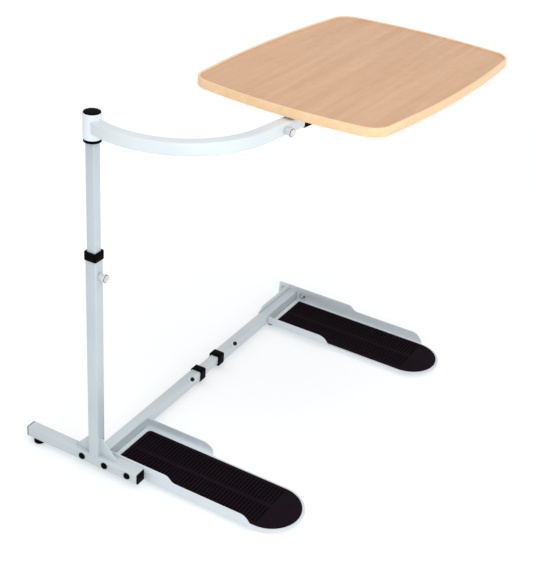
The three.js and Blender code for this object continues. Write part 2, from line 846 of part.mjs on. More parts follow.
function matOutline() {
  const shape = new THREE.Shape();
  const left = TOE_X - MAT_RADIUS;
  const right = TOE_X + MAT_RADIUS;
  shape.moveTo(left, TOE_Y);
  shape.absarc(TOE_X, TOE_Y, MAT_RADIUS, Math.PI, 2 * Math.PI, false);
  shape.lineTo(right, MAT_REAR - MAT_CORNER);
  shape.absarc(right - MAT_CORNER, MAT_REAR - MAT_CORNER, MAT_CORNER, 0, Math.PI / 2, false);
  shape.lineTo(left + 3, MAT_REAR);
  shape.absarc(left + 3, MAT_REAR - 3, 3, Math.PI / 2, Math.PI, false);
  shape.closePath();
  return shape;
}

// A flat mat with two lanes of cross grooves either side of a plain middle.
function footMat() {
  const bottom = plateFloorTop + GAP;
  const sheet = shift(extrude(matOutline(), MAT_THICKNESS, 14), 0, 0, bottom);
  const top = bottom + MAT_THICKNESS;
  const grooves = [];
  for (let i = 0; i < GROOVE_COUNT; i += 1) {
    const y0 = GROOVE_FIRST - i * GROOVE_PITCH - GROOVE_WIDTH / 2;
    const y1 = y0 + GROOVE_WIDTH;
    for (const side of [-1, 1]) {
      const near = TOE_X + side * GROOVE_LANE;
      const far = TOE_X + side * (GROOVE_LANE + GROOVE_LENGTH);
      const x0 = Math.min(near, far);
      const x1 = Math.max(near, far);
      grooves.push(box(x0, x1, y0, y1, top - GROOVE_DEPTH, top + 1));
    }
  }
  return cut(sheet, ...grooves);
}

const nearMat = footMat();
addPart("near_mat", nearMat, BLACK_RUBBER);
addPart("far_mat", mirrorX(nearMat, MIRROR_SUM), BLACK_RUBBER);

function floorPad() {
  return lathe([
    [0, 0],
    [PAD_RADIUS - 3, 0],
    [PAD_RADIUS - 0.8, 1],
    [PAD_RADIUS, 3],
    [PAD_RADIUS, PAD_HEIGHT],
    [0, PAD_HEIGHT],
  ]);
}

const PAD_INSET = 26;
const padSpots = [
  ["rear_outer", PLATE_OUTER + PAD_INSET, PLATE_FLANGE - PAD_INSET],
  ["rear_inner", PLATE_INNER - PAD_INSET, PLATE_FLANGE - PAD_INSET],
  ["toe_outer", TOE_X - 40, TOE_Y - 10],
  ["toe_inner", TOE_X + 40, TOE_Y - 10],
];
padSpots.forEach(([place, x, y]) => {
  addPart(`near_pad_${place}`, shift(floorPad(), x, y, 0), BLACK_RUBBER);
  addPart(`far_pad_${place}`, shift(floorPad(), MIRROR_SUM - x, y, 0), BLACK_RUBBER);
});

// ---- Swivel head -----------------------------------------------------------

const SPIGOT_RADIUS = 8.1;
const spindleProfile = [
  [0, INNER_POST_TOP - 32],
  [SPIGOT_RADIUS, INNER_POST_TOP - 32],
  [SPIGOT_RADIUS, INNER_POST_TOP + GAP],
  [SPINDLE_RADIUS, INNER_POST_TOP + GAP],
  [SPINDLE_RADIUS, SPINDLE_TOP - 1],
  [SPINDLE_RADIUS - 1, SPINDLE_TOP],
  [0, SPINDLE_TOP],
];
addPart("swivel_spindle", lathe(spindleProfile), ZINC_STEEL);

const bushOuter = SLEEVE_BORE - GAP;
const ringProfile = [
  [BUSH_BORE, RING_BOTTOM],
  [SLEEVE_RADIUS - 0.9, RING_BOTTOM],
  [SLEEVE_RADIUS - 0.4, RING_BOTTOM + 0.6],
  [SLEEVE_RADIUS - 0.4, SLEEVE_BOTTOM - GAP],
  [bushOuter, SLEEVE_BOTTOM - GAP],
  [bushOuter, SLEEVE_BOTTOM + 17],
  [BUSH_BORE, SLEEVE_BOTTOM + 17],
  [BUSH_BORE, RING_BOTTOM],
];
addPart("swivel_ring_bush", lathe(ringProfile, 36), BLACK_PLASTIC);

const upperBushProfile = [
  [BUSH_BORE, SPINDLE_TOP - 16],
  [bushOuter, SPINDLE_TOP - 16],
  [bushOuter, SPINDLE_TOP],
  [BUSH_BORE, SPINDLE_TOP],
  [BUSH_BORE, SPINDLE_TOP - 16],
];
addPart("swivel_upper_bush", lathe(upperBushProfile), BLACK_PLASTIC);

const sleeveProfile = [
  [SLEEVE_BORE, SLEEVE_BOTTOM],
  [SLEEVE_RADIUS - 0.4, SLEEVE_BOTTOM],
  [SLEEVE_RADIUS, SLEEVE_BOTTOM + 0.6],
  [SLEEVE_RADIUS, SLEEVE_TOP - 0.8],
  [SLEEVE_RADIUS - 0.8, SLEEVE_TOP],
  [SLEEVE_BORE, SLEEVE_TOP],
  [SLEEVE_BORE, SLEEVE_BOTTOM],
];
addPart("arm_sleeve", lathe(sleeveProfile, 36), WHITE_COAT);

const capProfile = [
  [0, SPINDLE_TOP + 2],
  [bushOuter, SPINDLE_TOP + 2],
  [bushOuter, SLEEVE_TOP + GAP],
  [SLEEVE_RADIUS - 1.2, SLEEVE_TOP + GAP],
  [SLEEVE_RADIUS - 1.4, SLEEVE_TOP + 1.3],
  [SLEEVE_RADIUS - 4, SLEEVE_TOP + 2.3],
  [0, SLEEVE_TOP + 3],
];
addPart("sleeve_cap", lathe(capProfile, 36), BLACK_PLASTIC);

// ---- Swing arm -------------------------------------------------------------

const radians = THREE.MathUtils.degToRad;
const armStartAngle = radians(ARM_START_ANGLE);
const armTurn = ARM_BEND_LENGTH / ARM_BEND_RADIUS;
const armEndAngle = armStartAngle + armTurn;

function heading(angle) {
  return new THREE.Vector3(Math.cos(angle), Math.sin(angle), 0);
}

// Centre line: a short straight lead, one bend and a straight tail. The lead
// and the tail take one step each and the bend takes the steps between.
const ARM_STEPS = ARM_BEND_STEPS + 2;

class ArmLine extends THREE.Curve {
  getUtoTmapping(u) {
    return u;
  }

  getPoint(t, target = new THREE.Vector3()) {
    const step = t * ARM_STEPS;
    const clamp = THREE.MathUtils.clamp;
    const lead = ARM_LEAD * clamp(step, 0, 1);
    const bend = ARM_BEND_LENGTH * clamp((step - 1) / ARM_BEND_STEPS, 0, 1);
    const tail = ARM_TAIL * clamp(step - 1 - ARM_BEND_STEPS, 0, 1);
    const start = heading(armStartAngle);
    const side = new THREE.Vector3(-start.y, start.x, 0);
    const angle = bend / ARM_BEND_RADIUS;
    target.set(0, 0, ARM_Z);
    target.addScaledVector(start, lead + ARM_BEND_RADIUS * Math.sin(angle));
    target.addScaledVector(side, ARM_BEND_RADIUS * (1 - Math.cos(angle)));
    target.addScaledVector(heading(armStartAngle + angle), tail);
    return target;
  }
}

const armLine = new ArmLine();
const armSweep = new THREE.ExtrudeGeometry(squareTubeShape(TUBE, ARM_CORNER, TUBE_WALL), {
  steps: ARM_STEPS,
  extrudePath: armLine,
  bevelEnabled: false,
  curveSegments: 2,
});
const armEnd = armLine.getPoint(1);
const armForward = heading(armEndAngle);
const armOutward = new THREE.Vector3(armForward.y, -armForward.x, 0);
const sleeveClear = shift(cylinder(SLEEVE_RADIUS + GAP, 60, 36), 0, 0, ARM_Z - 30);
const armKnobSpot = armEnd.clone().addScaledVector(armForward, -ARM_KNOB_FROM_END);
armKnobSpot.z -= ARM_KNOB_DROP;
const armKnobHole = aim(
  cylinder(HOLE_RADIUS, 10),
  armKnobSpot.clone().addScaledVector(armOutward, 7),
  armOutward,
);
addPart("swing_arm", cut(armSweep, sleeveClear, armKnobHole), WHITE_COAT);

// The end collar guides the tray's slide tube.
const slidePassage = SLIDE_TUBE + 3;
const armBoreCorner = ARM_CORNER - TUBE_WALL + 0.2;
const armCollar = tubeCollar(slidePassage, ARM_COLLAR_LENGTH, 0, ARM_COLLAR_SIZE, armBoreCorner);
const armCollarTurn = new THREE.Matrix4().makeBasis(UP, armOutward, armForward);
armCollar.applyMatrix4(armCollarTurn);
armCollar.translate(armEnd.x, armEnd.y, armEnd.z);
armCollar.translate(armForward.x * GAP, armForward.y * GAP, 0);
addPart("arm_end_collar", armCollar, BLACK_PLASTIC);

const armFace = armKnobSpot.clone().addScaledVector(armOutward, TUBE / 2 + GAP);
addPart("arm_knob_boss", aim(knobBoss(), armFace, armOutward), WHITE_COAT);
const armStud = BOSS_HEIGHT + TUBE / 2 + GAP - SLIDE_TUBE / 2 - 0.5;
const armKnobSeat = armFace.clone().addScaledVector(armOutward, BOSS_HEIGHT);
const armKnob = aim(clampKnob(armStud, KNOB_RADIUS), armKnobSeat, armOutward);
addPart("arm_knob", armKnob, KNOB_PLASTIC);

// ---- Tray ------------------------------------------------------------------

// Everything the tray carries is drawn level, with z = 0 at the tray's
// underside, and then given the tray's sag.
function placeTray(geometry) {
  const downhill = radians(TRAY_SAG_ANGLE);
  const axis = new THREE.Vector3(-Math.sin(downhill), Math.cos(downhill), 0);
  geometry.translate(-SAG_PIVOT_X, -SAG_PIVOT_Y, 0);
  geometry.applyQuaternion(new THREE.Quaternion().setFromAxisAngle(axis, radians(TRAY_SAG)));
  geometry.translate(SAG_PIVOT_X, SAG_PIVOT_Y, TRAY_UNDERSIDE);
  return geometry;
}

function onTray(geometry) {
  geometry.rotateZ(radians(TRAY_ANGLE));
  geometry.translate(TRAY_X, TRAY_Y, 0);
  return placeTray(geometry);
}

// The corner centre where two inset side arcs cross, in the first quadrant.
function cornerCentre(endRadius, sideRadius) {
  const endCentre = new THREE.Vector2(TRAY_HALF_LENGTH - TRAY_END_BOW, 0);
  const sideCentre = new THREE.Vector2(0, TRAY_HALF_DEPTH - TRAY_SIDE_BOW);
  const between = sideCentre.clone().sub(endCentre);
  const distance = between.length();
  const squares = endRadius ** 2 - sideRadius ** 2 + distance ** 2;
  const along = squares / (2 * distance);
  const across = Math.sqrt(endRadius ** 2 - along ** 2);
  const unit = between.clone().normalize();
  const normal = new THREE.Vector2(-unit.y, unit.x);
  const middle = endCentre.clone().addScaledVector(unit, along);
  const first = middle.clone().addScaledVector(normal, across);
  const second = middle.clone().addScaledVector(normal, -across);
  return first.x > 0 && first.y > 0 ? first : second;
}

// Four bowed sides and four round corners, all moved inwards by an inset.
function trayOutline(inset, shape = new THREE.Shape()) {
  const corner = Math.max(TRAY_CORNER - inset, 1);
  const centre = cornerCentre(TRAY_END_BOW - inset - corner, TRAY_SIDE_BOW - inset - corner);
  const endX = TRAY_HALF_LENGTH - TRAY_END_BOW;
  const sideY = TRAY_HALF_DEPTH - TRAY_SIDE_BOW;
  const endAngle = Math.atan2(centre.y, centre.x - endX);
  const sideAngle = Math.atan2(centre.y - sideY, centre.x);
  const endRadius = TRAY_END_BOW - inset;
  const sideRadius = TRAY_SIDE_BOW - inset;
  const right = Math.PI;
  shape.absarc(endX, 0, endRadius, -endAngle, endAngle, false);
  shape.absarc(centre.x, centre.y, corner, endAngle, sideAngle, false);
  shape.absarc(0, sideY, sideRadius, sideAngle, right - sideAngle, false);
  shape.absarc(-centre.x, centre.y, corner, right - sideAngle, right - endAngle, false);
  shape.absarc(-endX, 0, endRadius, right - endAngle, right + endAngle, false);
  shape.absarc(-centre.x, -centre.y, corner, right + endAngle, right + sideAngle, false);
  shape.absarc(0, -sideY, sideRadius, right + sideAngle, 2 * right - sideAngle, false);
  shape.absarc(centre.x, -centre.y, corner, 2 * right - sideAngle, 2 * right - endAngle, false);
  shape.closePath();
  return shape;
}

const LIP_ROUND = 2;

function trayLip() {
  const shape = trayOutline(LIP_ROUND);
  shape.holes.push(trayOutline(TRAY_LIP - LIP_ROUND, new THREE.Path()));
  const rim = new THREE.ExtrudeGeometry(shape, {
    depth: TRAY_HEIGHT - 2 * LIP_ROUND,
    bevelEnabled: true,
    bevelThickness: LIP_ROUND,
    bevelSize: LIP_ROUND,
    bevelSegments: 2,
    curveSegments: 6,
    steps: 1,
  });
  rim.translate(0, 0, LIP_ROUND);
  return rim;
}

addPart("tray_edge_lip", onTray(trayLip()), TRAY_WOOD);

// The slide tube runs inside the arm's tail and lies along the sagging tray.
const slideAngle = armEndAngle;

function onSlide(geometry) {
  geometry.rotateZ(slideAngle);
  geometry.translate(armEnd.x, armEnd.y, 0);
  return placeTray(geometry);
}

const slideShape = squareTube(SLIDE_TUBE, INNER_CORNER, TUBE_WALL, SLIDE_TAIL + SLIDE_REACH);
const slideTube = shift(alongX(slideShape, -SLIDE_TAIL), 0, 0, -SLIDE_DROP);
addPart("tray_slide_tube", onSlide(slideTube), WHITE_COAT);

const BRACKET_START = 44;
const BRACKET_END = 196;
const BRACKET_HALF = 58;
const BRACKET_THICKNESS = 3;
const SCREW_INSET = 14;

function traySpot(along, across) {
  const spot = new THREE.Vector3(along, across, 0);
  spot.applyAxisAngle(UP, slideAngle);
  return spot.add(new THREE.Vector3(armEnd.x, armEnd.y, 0));
}

const screwSpots = [
  ["1", BRACKET_START + SCREW_INSET, -BRACKET_HALF + SCREW_INSET],
  ["2", BRACKET_START + SCREW_INSET, BRACKET_HALF - SCREW_INSET],
  ["3", BRACKET_END - SCREW_INSET, -BRACKET_HALF + SCREW_INSET],
  ["4", BRACKET_END - SCREW_INSET, BRACKET_HALF - SCREW_INSET],
];

function atScrews(make) {
  return screwSpots.map(([, along, across]) => {
    const spot = traySpot(along, across);
    return shift(make(), spot.x, spot.y, 0);
  });
}

function trayBracket() {
  const plateTop = -GAP;
  const plateBottom = plateTop - BRACKET_THICKNESS;
  const plate = box(
    BRACKET_START,
    BRACKET_END,
    -BRACKET_HALF,
    BRACKET_HALF,
    plateBottom,
    plateTop,
  );
  const spacerBottom = -SLIDE_DROP + SLIDE_TUBE / 2 + GAP;
  const spacer = box(BRACKET_START, BRACKET_END, -11, 11, spacerBottom, plateBottom + 0.5);
  const bracket = join(plate, spacer);
  bracket.rotateZ(slideAngle);
  bracket.translate(armEnd.x, armEnd.y, 0);
  const holes = atScrews(() => shift(cylinder(2.6, 8, 20), 0, 0, plateBottom - 2));
  return cut(bracket, ...holes);
}

addPart("tray_bracket", placeTray(trayBracket()), WHITE_COAT);

const SCREW_DEPTH = 11;

function trayBoard() {
  const inset = TRAY_LIP + GAP;
  const board = extrude(trayOutline(inset), TRAY_HEIGHT - TRAY_RECESS - 1, 6);
  board.translate(0, 0, 1);
  board.rotateZ(radians(TRAY_ANGLE));
  board.translate(TRAY_X, TRAY_Y, 0);
  const pilots = atScrews(() => shift(cylinder(2.3, SCREW_DEPTH + GAP + 2, 20), 0, 0, -2));
  return cut(board, ...pilots);
}

addPart("tray_board", placeTray(trayBoard()), TRAY_LAMINATE);

function trayScrew() {
  const seat = -GAP - BRACKET_THICKNESS - GAP;
  return lathe([
    [0, seat - 2.4],
    [2.6, seat - 2.4],
    [4.4, seat - 1],
    [4.6, seat],
    [2, seat],
    [2, SCREW_DEPTH - 3],
    [0, SCREW_DEPTH],
  ], 16);
}

screwSpots.forEach(([label, along, across]) => {
  const spot = traySpot(along, across);
  const screw = placeTray(shift(trayScrew(), spot.x, spot.y, 0));
  addPart(`tray_screw_${label}`, screw, ZINC_STEEL);
});

export default group;
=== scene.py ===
"""Looks of the overbed table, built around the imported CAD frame."""

import json
import math

import bmesh
import bpy
from mathutils import Matrix, Quaternion, Vector


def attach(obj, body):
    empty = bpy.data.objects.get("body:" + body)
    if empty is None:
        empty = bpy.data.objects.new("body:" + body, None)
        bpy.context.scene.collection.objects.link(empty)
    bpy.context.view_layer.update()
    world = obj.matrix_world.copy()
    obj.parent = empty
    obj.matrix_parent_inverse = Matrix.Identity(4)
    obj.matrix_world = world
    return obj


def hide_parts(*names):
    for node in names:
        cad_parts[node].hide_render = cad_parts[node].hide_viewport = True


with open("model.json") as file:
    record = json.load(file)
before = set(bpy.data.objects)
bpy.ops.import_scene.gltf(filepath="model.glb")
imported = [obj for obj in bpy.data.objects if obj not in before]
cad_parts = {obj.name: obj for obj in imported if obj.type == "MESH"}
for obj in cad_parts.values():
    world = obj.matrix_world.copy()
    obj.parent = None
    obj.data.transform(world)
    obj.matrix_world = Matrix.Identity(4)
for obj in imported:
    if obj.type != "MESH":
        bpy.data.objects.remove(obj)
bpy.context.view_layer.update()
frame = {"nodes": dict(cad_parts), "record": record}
nodes = frame["nodes"]
node_slots = {s["node"]: s["material_slot"] for s in frame["record"]["subparts"]}
node_bodies = {
    node: body
    for body, members in frame["record"]["behaviour"]["bodies"].items()
    for node in members
}
scene = bpy.context.scene
MM = 0.001

# The CAD's own driving sizes, in millimetres from the post's axis.
POST = Vector((-408.68, 159.52, 0))
TUBE = 25.0
GAP = 0.3
RAIL_TOP = 38.5
RAIL_CENTRE_Z = 26.0
SLEEVE_RADIUS = 17.5
ARM_Z = 782.0
ARM_START = math.radians(-106.6)
ARM_LEAD = 20.0
ARM_RADIUS = 193.0
ARM_BEND = 330.0
ARM_TAIL = 110.0
TRAY_CENTRE = Vector((520.9, -269.7, 0))
TRAY_TURN = math.radians(-3.1)
TRAY_HALF_LENGTH = 304.6
TRAY_HALF_DEPTH = 223.8
TRAY_END_BOW = 1115.0
TRAY_SIDE_BOW = 2303.0
TRAY_CORNER = 45.0
TRAY_HEIGHT = 18.4
TRAY_RECESS = 3.2
TRAY_LIP = 5.4
TRAY_SAG = math.radians(1.44)
TRAY_SAG_WAY = math.radians(23.5)
SAG_PIVOT = Vector((267.5, -279.0, 0))
TRAY_UNDERSIDE = 797.5
GROOVE_Z = 12.1
MAT_TOP_Z = 12.7
BORE_RADIUS = 15.3
SLEEVE_BOTTOM = 756.8
SLEEVE_TOP = 806.3
HEIGHT_KNOB_Z = 472.4
ARM_KNOB_FROM_END = 58.0
ARM_KNOB_DROP = 1.2
# The CAD arm's own number of straight steps, so that both bends lie in the same box.
ARM_BEND_STEPS = 20

# Finishing sizes of the visual model, in millimetres
WELD_RADIUS = 0.9
WELD_STEP = 0.9

X_AXIS = Vector((1, 0, 0))
Y_AXIS = Vector((0, 1, 0))
Z_AXIS = Vector((0, 0, 1))


# ---- Materials ---------------------------------------------------------------


class Shader:
    """A Principled material and short ways to wire its nodes."""

    def __init__(self, name, colour, roughness, **inputs):
        self.material = bpy.data.materials.new(name)
        self.material.use_nodes = True
        self.tree = self.material.node_tree
        self.principled = self.tree.nodes["Principled BSDF"]
        self.principled.inputs["Base Color"].default_value = (*colour, 1)
        self.principled.inputs["Roughness"].default_value = roughness
        for key, value in inputs.items():
            self.principled.inputs[key.replace("_", " ")].default_value = value
        self.material.diffuse_color = (*colour, 1)
        self.coordinates = self.tree.nodes.new("ShaderNodeTexCoord").outputs["Object"]

    def link(self, source, target):
        self.tree.links.new(source, target)

    def scaled(self, scale, turn=0.0, vector=None):
        mapping = self.tree.nodes.new("ShaderNodeMapping")
        mapping.inputs["Scale"].default_value = scale
        mapping.inputs["Rotation"].default_value = (0, 0, turn)
        self.link(vector or self.coordinates, mapping.inputs["Vector"])
        return mapping.outputs["Vector"]

    def noise(self, scale, detail=3.0, rough=0.5, vector=None, distortion=0.0):
        node = self.tree.nodes.new("ShaderNodeTexNoise")
        node.inputs["Scale"].default_value = scale
        node.inputs["Detail"].default_value = detail
        node.inputs["Roughness"].default_value = rough
        node.inputs["Distortion"].default_value = distortion
        self.link(vector or self.coordinates, node.inputs["Vector"])
        return node.outputs["Fac"]

    def height(self):
        node = self.tree.nodes.new("ShaderNodeSeparateXYZ")
        self.link(self.coordinates, node.inputs["Vector"])
        return node.outputs["Z"]

    def spots(self, scale, vector=None):
        node = self.tree.nodes.new("ShaderNodeTexVoronoi")
        node.inputs["Scale"].default_value = scale
        self.link(vector or self.coordinates, node.inputs["Vector"])
        return node.outputs["Distance"]

    def remap(self, value, low, high, out_low, out_high):
        node = self.tree.nodes.new("ShaderNodeMapRange")
        node.inputs["From Min"].default_value = low
        node.inputs["From Max"].default_value = high
        node.inputs["To Min"].default_value = out_low
        node.inputs["To Max"].default_value = out_high
        self.link(value, node.inputs["Value"])
        return node.outputs["Result"]

    def mix(self, factor, first, second):
        node = self.tree.nodes.new("ShaderNodeMix")
        node.data_type = "RGBA"
        self.link(factor, node.inputs["Factor"])
        for value, socket in ((first, node.inputs["A"]), (second, node.inputs["B"])):
            if isinstance(value, tuple):
                socket.default_value = (*value, 1)
            else:
                self.link(value, socket)
        return node.outputs["Result"]

    def colour_from(self, output):
        self.link(output, self.principled.inputs["Base Color"])

    def roughness_from(self, output):
        self.link(output, self.principled.inputs["Roughness"])

    def bump(self, height, distance, strength=1.0, under=None):
        node = self.tree.nodes.new("ShaderNodeBump")
        node.inputs["Distance"].default_value = distance
        node.inputs["Strength"].default_value = strength
        self.link(height, node.inputs["Height"])
        if under is not None:
            self.link(under, node.inputs["Normal"])
        self.link(node.outputs["Normal"], self.principled.inputs["Normal"])
        return node.outputs["Normal"]


def powder_coat(name, white):
    """Cool white powder coat: fine orange peel and a faint uneven tone."""
    shader = Shader(name, white, 0.4, Specular_IOR_Level=0.35)
    cloud = shader.remap(shader.noise(9, 3), 0.3, 0.7, 0, 1)
    darker = tuple(c * 0.965 for c in white)
    lighter = tuple(min(c * 1.03, 0.97) for c in white)
    tone = shader.mix(cloud, darker, lighter)
    speck = shader.remap(shader.spots(260), 0.0, 0.06, 1, 0)
    shader.colour_from(shader.mix(speck, tone, tuple(c * 0.88 for c in white)))
    shader.roughness_from(shader.remap(shader.noise(60, 4), 0.3, 0.7, 0.34, 0.46))
    peel = shader.bump(shader.noise(700, 2, 0.4), 0.00008, 0.5)
    shader.bump(shader.noise(120, 2), 0.0002, 0.25, peel)
    return shader.material


def moulded_plastic(name, colour, roughness, grain=0.6, shine=0.05):
    """Moulded plastic: spark-eroded grain and slightly uneven gloss."""
    shader = Shader(name, colour, roughness, Specular_IOR_Level=shine)
    lighter = tuple(c * 1.2 + 0.002 for c in colour)
    darker = tuple(c * 0.8 for c in colour)
    cloud = shader.remap(shader.noise(45, 4), 0.3, 0.7, 0, 1)
    shader.colour_from(shader.mix(cloud, darker, lighter))
    mottled = shader.noise(180, 4)
    shader.roughness_from(shader.remap(mottled, 0.3, 0.7, roughness - 0.08, roughness + 0.1))
    shader.bump(shader.noise(1600, 2, 0.6), 0.00006, grain)
    return shader.material


def rubber():
    """Matt black rubber with a little dust; the colour is darker below the rib tops, painted shade
    in the mats' grooves.
    """
    shader = Shader("black_rubber", (0.005, 0.003, 0.005), 0.8, Specular_IOR_Level=0.04)
    # Painted shade: by height, the grooves are darker and the rib tops lighter.
    groove_shade_mask = shader.remap(shader.height(), GROOVE_Z * MM, MAT_TOP_Z * MM, 0, 1)
    tone = shader.mix(groove_shade_mask, (0.0008, 0.0002, 0.0012), (0.0085, 0.0045, 0.0075))
    dust = shader.remap(shader.noise(28, 6, 0.65), 0.5, 0.8, 0, 0.25)
    shader.colour_from(shader.mix(dust, tone, (0.013, 0.010, 0.013)))
    shader.roughness_from(shader.remap(shader.noise(240, 4), 0.3, 0.7, 0.66, 0.88))
    shader.bump(shader.noise(1100, 3, 0.6), 0.0001, 0.6)
    return shader.material


def dark_screw():
    """Black oxide screw with worn edges in its finish."""
    shader = Shader("black_steel", (0.008, 0.008, 0.009), 0.4, Specular_IOR_Level=0.2)
    worn = shader.remap(shader.noise(380, 5), 0.52, 0.72, 0, 0.5)
    shader.colour_from(shader.mix(worn, (0.006, 0.006, 0.007), (0.05, 0.05, 0.052)))
    shader.roughness_from(shader.remap(shader.noise(500, 3), 0.3, 0.7, 0.3, 0.5))
    shader.bump(shader.noise(900, 3), 0.00005, 0.5)
    return shader.material


def zinc():
    """Bright zinc plate: mottled crystal tone over a fine turned grain."""
    shader = Shader("zinc_steel", (0.56, 0.57, 0.58), 0.3, Metallic=1.0)
    cloud = shader.remap(shader.noise(220, 4), 0.3, 0.7, 0, 1)
    shader.colour_from(shader.mix(cloud, (0.46, 0.47, 0.49), (0.66, 0.66, 0.65)))
    shader.roughness_from(shader.remap(shader.noise(340, 4), 0.3, 0.7, 0.22, 0.4))
    shader.bump(shader.noise(1300, 3), 0.00004, 0.5)
    return shader.material


def beech(name, light, dark, fleck, turn, roughness, fleck_depth):
    """Beech: long soft streaks with the short dark flecks of its rays."""
    shader = Shader(name, light, roughness, Specular_IOR_Level=0.3)
    along = shader.scaled((0.9, 15.0, 15.0), turn)
    streak = shader.noise(3.2, 5, 0.55, along, 0.35)
    fine = shader.noise(24, 4, 0.6, along, 0.2)
    base = shader.mix(shader.remap(streak, 0.32, 0.68, 0, 1), light, dark)
    pores = shader.remap(fine, 0.35, 0.75, 0, 0.35)
    grained = shader.mix(pores, base, tuple(c * 0.9 for c in dark))
    rays = shader.scaled((95.0, 640.0, 640.0), turn)
    dots = shader.remap(shader.spots(1.0, rays), 0.0, 0.3, fleck_depth, 0)
    shader.colour_from(shader.mix(dots, grained, fleck))
    shader.roughness_from(
        shader.remap(shader.noise(50, 4), 0.3, 0.7, roughness - 0.06, roughness + 0.08)
    )
    shader.bump(fine, 0.00012, 0.25)
    return shader.material


materials = {
    "white_coat": powder_coat("white_coat", (0.515, 0.565, 0.59)),
    "black_plastic": moulded_plastic("black_plastic", (0.001, 0.001, 0.0013), 0.5, 0.5, 0.02),
    "black_rubber": rubber(),
    "black_steel": dark_screw(),
    "zinc_steel": zinc(),
    "white_plastic": moulded_plastic("white_plastic", (0.56, 0.58, 0.60), 0.32, 0.35, 0.4),
    "tray_laminate": beech(
        "tray_laminate",
        (0.69, 0.42, 0.25),
        (0.60, 0.345, 0.195),
        (0.44, 0.25, 0.14),
        -TRAY_TURN,
        0.40,
        0.5,
    ),
    "tray_wood": beech(
        "tray_wood",
        (0.90, 0.64, 0.40),
        (0.83, 0.54, 0.29),
        (0.64, 0.38, 0.19),
        -TRAY_TURN,
        0.36,
        0.4,
    ),
}


# ---- Pieces ------------------------------------------------------------------


def smooth(mesh):
    mesh.polygons.foreach_set("use_smooth", [True] * len(mesh.polygons))


def soften(piece, width, angle=30.0, segments=2):
    """Rounds every edge sharper than the angle, and shades the flats flat."""
    bevel = piece.modifiers.new("edge_round", "BEVEL")
    bevel.width = width * MM
    bevel.segments = segments
    bevel.limit_method = "ANGLE"
    bevel.angle_limit = math.radians(angle)
    bevel.harden_normals = True
    bevel.use_clamp_overlap = True


# Painted light: lighter copies of the one white paint for the sleeve, the lock bosses, the arm and
# the foot plates, standing in for the extra light these parts catch.
sleeve_painted_light_coat = powder_coat("white_coat_sleeve_painted_light", (0.74, 0.78, 0.83))
arm_painted_light_coat = powder_coat("white_coat_arm_painted_light", (0.665, 0.70, 0.715))
plate_painted_light_coat = powder_coat("white_coat_plate_painted_light", (0.615, 0.665, 0.695))
PAINTED_LIGHT_COATS = {
    "arm_sleeve": sleeve_painted_light_coat,
    "near_lock_boss": sleeve_painted_light_coat,
    "far_lock_boss": sleeve_painted_light_coat,
    "swing_arm": arm_painted_light_coat,
    "near_foot_plate": plate_painted_light_coat,
    "far_foot_plate": plate_painted_light_coat,
}


def finish_piece(piece, node, slot=None):
    """Gives a piece the material of its CAD node's slot, or the lighter painted-light copy of the
    white coat set for that node, and the node's body.
    """
    slot = slot or node_slots[node]
    piece.data.materials.clear()
    # Painted light: the nodes listed above get a lighter copy of the white paint instead of the
    # plain white coat.
    finish = PAINTED_LIGHT_COATS.get(node) if slot == "white_coat" else None
    piece.data.materials.append(finish or materials[slot])
    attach(piece, node_bodies[node])
    return piece


def new_piece(name, mesh_builder):
    mesh = bpy.data.meshes.new(name)
    builder = bmesh.new()
    mesh_builder(builder)
    bmesh.ops.recalc_face_normals(builder, faces=builder.faces)
    builder.to_mesh(mesh)
    builder.free()
    smooth(mesh)
    piece = bpy.data.objects.new(name, mesh)
    scene.collection.objects.link(piece)
    return piece


def refined(node, bevel=0.7, angle=30.0, segments=2):
    """The CAD solid with its flats merged and its edges rounded."""
    source = nodes[node].data

    def build(builder):
        builder.from_mesh(source)
        bmesh.ops.remove_doubles(builder, verts=builder.verts, dist=2e-6)
        bmesh.ops.dissolve_limit(
            builder,
            angle_limit=math.radians(0.6),
            verts=builder.verts,
            edges=builder.edges,
        )

    piece = new_piece(node + "_look", build)
    if bevel:
        soften(piece, bevel, angle, segments)
    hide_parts(node)
    return finish_piece(piece, node)


def placed(point):
    """A point in millimetres from the post's axis, in the row frame in metres."""
    return (Vector(point) + POST) * MM


def turned_grid(builder, rings):
    """Skins rows of points that close on themselves; an end row of one point is a pole."""
    rows = [[builder.verts.new(p) for p in ring] for ring in rings]
    for low, high in zip(rows, rows[1:]):
        count = max(len(low), len(high))
        for i in range(count):
            k = (i + 1) % count
            corners = [low[i % len(low)], low[k % len(low)]]
            corners += [high[k % len(high)], high[i % len(high)]]
            unique = list(dict.fromkeys(corners))
            if len(unique) > 2:
                builder.faces.new(unique)
    return rows


def close_rows(builder, rows):
    """Joins the last row of a skin to its first."""
    first, last = rows[0], rows[-1]
    for i in range(len(first)):
        k = (i + 1) % len(first)
        builder.faces.new([last[i], last[k], first[k], first[i]])


def lathe_piece(node, profile, origin, axis, segments=56, bevel=0.35, name=None, closed=False):
    """A turned piece: profile is (radius, height) along the axis from the origin."""
    turn = Z_AXIS.rotation_difference(Vector(axis).normalized())
    base = placed(origin)

    def ring(radius, height):
        if radius <= 0:
            return [base + turn @ Vector((0, 0, height)) * MM]
        points = []
        for i in range(segments):
            a = math.tau * i / segments
            local = Vector((radius * math.cos(a), radius * math.sin(a), height))
            points.append(base + turn @ local * MM)
        return points

    def build(builder):
        rows = turned_grid(builder, [ring(r, h) for r, h in profile])
        if closed:
            close_rows(builder, rows)

    piece = new_piece(name or node + "_look", build)
    if bevel:
        soften(piece, bevel, 25.0, 2)
    return piece


def stand_for(piece, node):
    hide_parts(node)
    return finish_piece(piece, node)


def lathe_node(node, profile, origin, axis, **options):
    return stand_for(lathe_piece(node, profile, origin, axis, **options), node)


